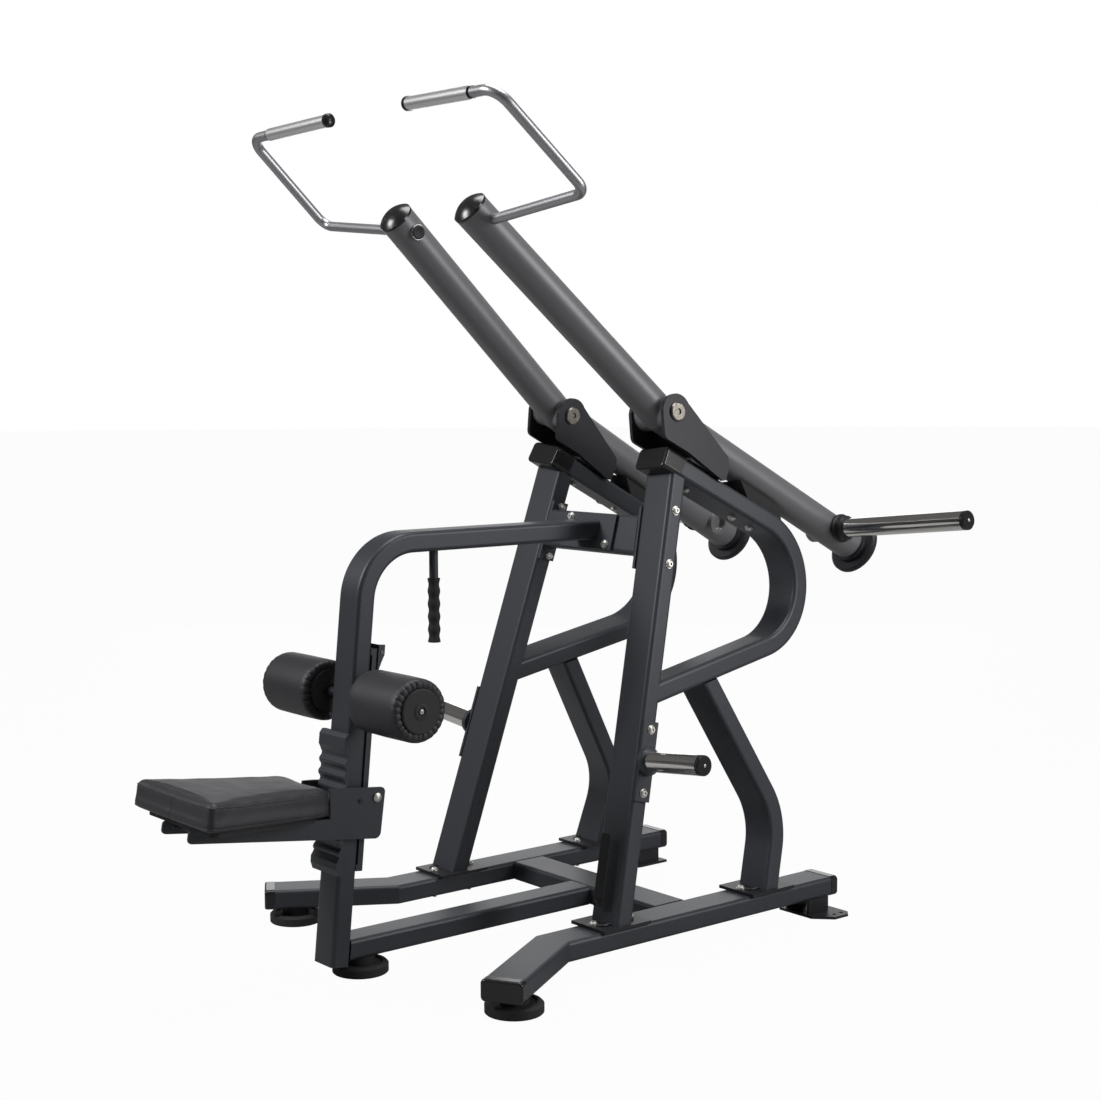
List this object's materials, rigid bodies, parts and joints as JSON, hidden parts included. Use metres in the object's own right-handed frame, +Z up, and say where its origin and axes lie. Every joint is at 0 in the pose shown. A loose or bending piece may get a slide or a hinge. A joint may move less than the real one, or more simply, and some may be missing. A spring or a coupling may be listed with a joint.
{
  "type": "lat pulldown machine",
  "caption": "Plate-loaded lat pulldown machine with two pivoting lever arms, grip handles, weight horns, sliding seat and thigh rollers on a leaning steel tube frame.",
  "frame": {"origin": "centre of the front foot's underside, on the floor", "axes": "+Z up, +Y from the seat towards the weights, +X to the sitter's right"},
  "size_m": [1.423, 2.031, 2.0537],
  "materials": {
    "frame_paint": "satin metallic powder coat",
    "arm_paint": "metallic lacquer over brushed tube",
    "black_paint": "satin powder coat",
    "handle_steel": "lacquered steel tube",
    "grip_aluminium": "fine knurled aluminium",
    "chrome": "polished plating",
    "bolt_steel": "bright zinc",
    "gloss_black_plastic": "moulded, polished",
    "matte_black_plastic": "moulded, fine texture",
    "black_rubber": "moulded rubber",
    "black_vinyl": "upholstery vinyl, fine grain"
  },
  "bodies": {
    "frame": {"rail_right": "frame_paint", "rail_left": "frame_paint", "tube_end_caps": "gloss_black_plastic", "base_crossbar": "frame_paint", "center_rail": "frame_paint", "round_feet": "black_rubber", "rear_feet": "black_paint", "base_plates": "black_paint", "upright_right": "frame_paint", "upright_left": "frame_paint", "side_tube_right": "frame_paint", "side_tube_left": "frame_paint", "side_tube_caps": "gloss_black_plastic", "rear_leg_right": "frame_paint", "rear_leg_left": "frame_paint", "upper_crossbar": "frame_paint", "seat_tube": "frame_paint", "seat_tube_flange": "frame_paint", "hanging_stem": "frame_paint", "hanging_grip": "black_rubber", "pivot_bracket_right": "black_paint", "pivot_bracket_left": "black_paint", "pivot_pins": "bolt_steel", "bump_stops": "black_rubber", "peg_brackets": "frame_paint", "peg_sleeves": "chrome", "peg_caps": "gloss_black_plastic", "frame_bolts": "bolt_steel", "seat_rack": "frame_paint", "seat_guide": "frame_paint", "spring_lug": "frame_paint", "spring_rod": "chrome", "roller_axle": "bolt_steel"},
    "arm_right": {"arm_tube_right": "arm_paint", "arm_caps_right": "gloss_black_plastic", "arm_disc_right": "black_paint", "pivot_bushes_right": "matte_black_plastic", "horn_right": "chrome", "horn_collar_right": "black_paint", "handle_right": "handle_steel", "grip_right": "grip_aluminium"},
    "arm_left": {"arm_tube_left": "arm_paint", "arm_caps_left": "gloss_black_plastic", "arm_disc_left": "black_paint", "pivot_bushes_left": "matte_black_plastic", "horn_left": "chrome", "horn_collar_left": "black_paint", "handle_left": "handle_steel", "grip_left": "grip_aluminium"},
    "seat_slider": {"seat_axle": "bolt_steel", "spring_cylinder": "black_paint"},
    "seat_carriage": {"seat_frame": "frame_paint", "seat_glides": "matte_black_plastic", "seat_pad": "black_vinyl", "seat_board": "matte_black_plastic"},
    "roller_right": {"roller_core_right": "matte_black_plastic", "roller_foam_right": "black_vinyl"},
    "roller_left": {"roller_core_left": "matte_black_plastic", "roller_foam_left": "black_vinyl"}
  },
  "joints": [
    {"name": "arm_right_pivot", "type": "hinge", "parent": "frame", "child": "arm_right", "pos_m": [0.20323, 0.7875, 1.3287], "axis": [0.9945, 0, 0.1045], "range_deg": [0, 55]},
    {"name": "arm_left_pivot", "type": "hinge", "parent": "frame", "child": "arm_left", "pos_m": [-0.20323, 0.7875, 1.3287], "axis": [0.9945, 0, -0.1045], "range_deg": [0, 55]},
    {"name": "seat_height", "type": "slide", "parent": "frame", "child": "seat_slider", "axis": [0, 0.0997, 0.995], "range_m": [-0.03, 0.09]},
    {"name": "seat_tilt", "type": "hinge", "parent": "seat_slider", "child": "seat_carriage", "pos_m": [0, 0.01079, 0.43452], "axis": [-1, 0, 0], "range_deg": [0, 5]},
    {"name": "roller_right_spin", "type": "hinge", "parent": "frame", "child": "roller_right", "pos_m": [0, -0.01859, 0.673], "axis": [1, 0, 0], "continuous": true},
    {"name": "roller_left_spin", "type": "hinge", "parent": "frame", "child": "roller_left", "pos_m": [0, -0.01859, 0.673], "axis": [1, 0, 0], "continuous": true}
  ]
}
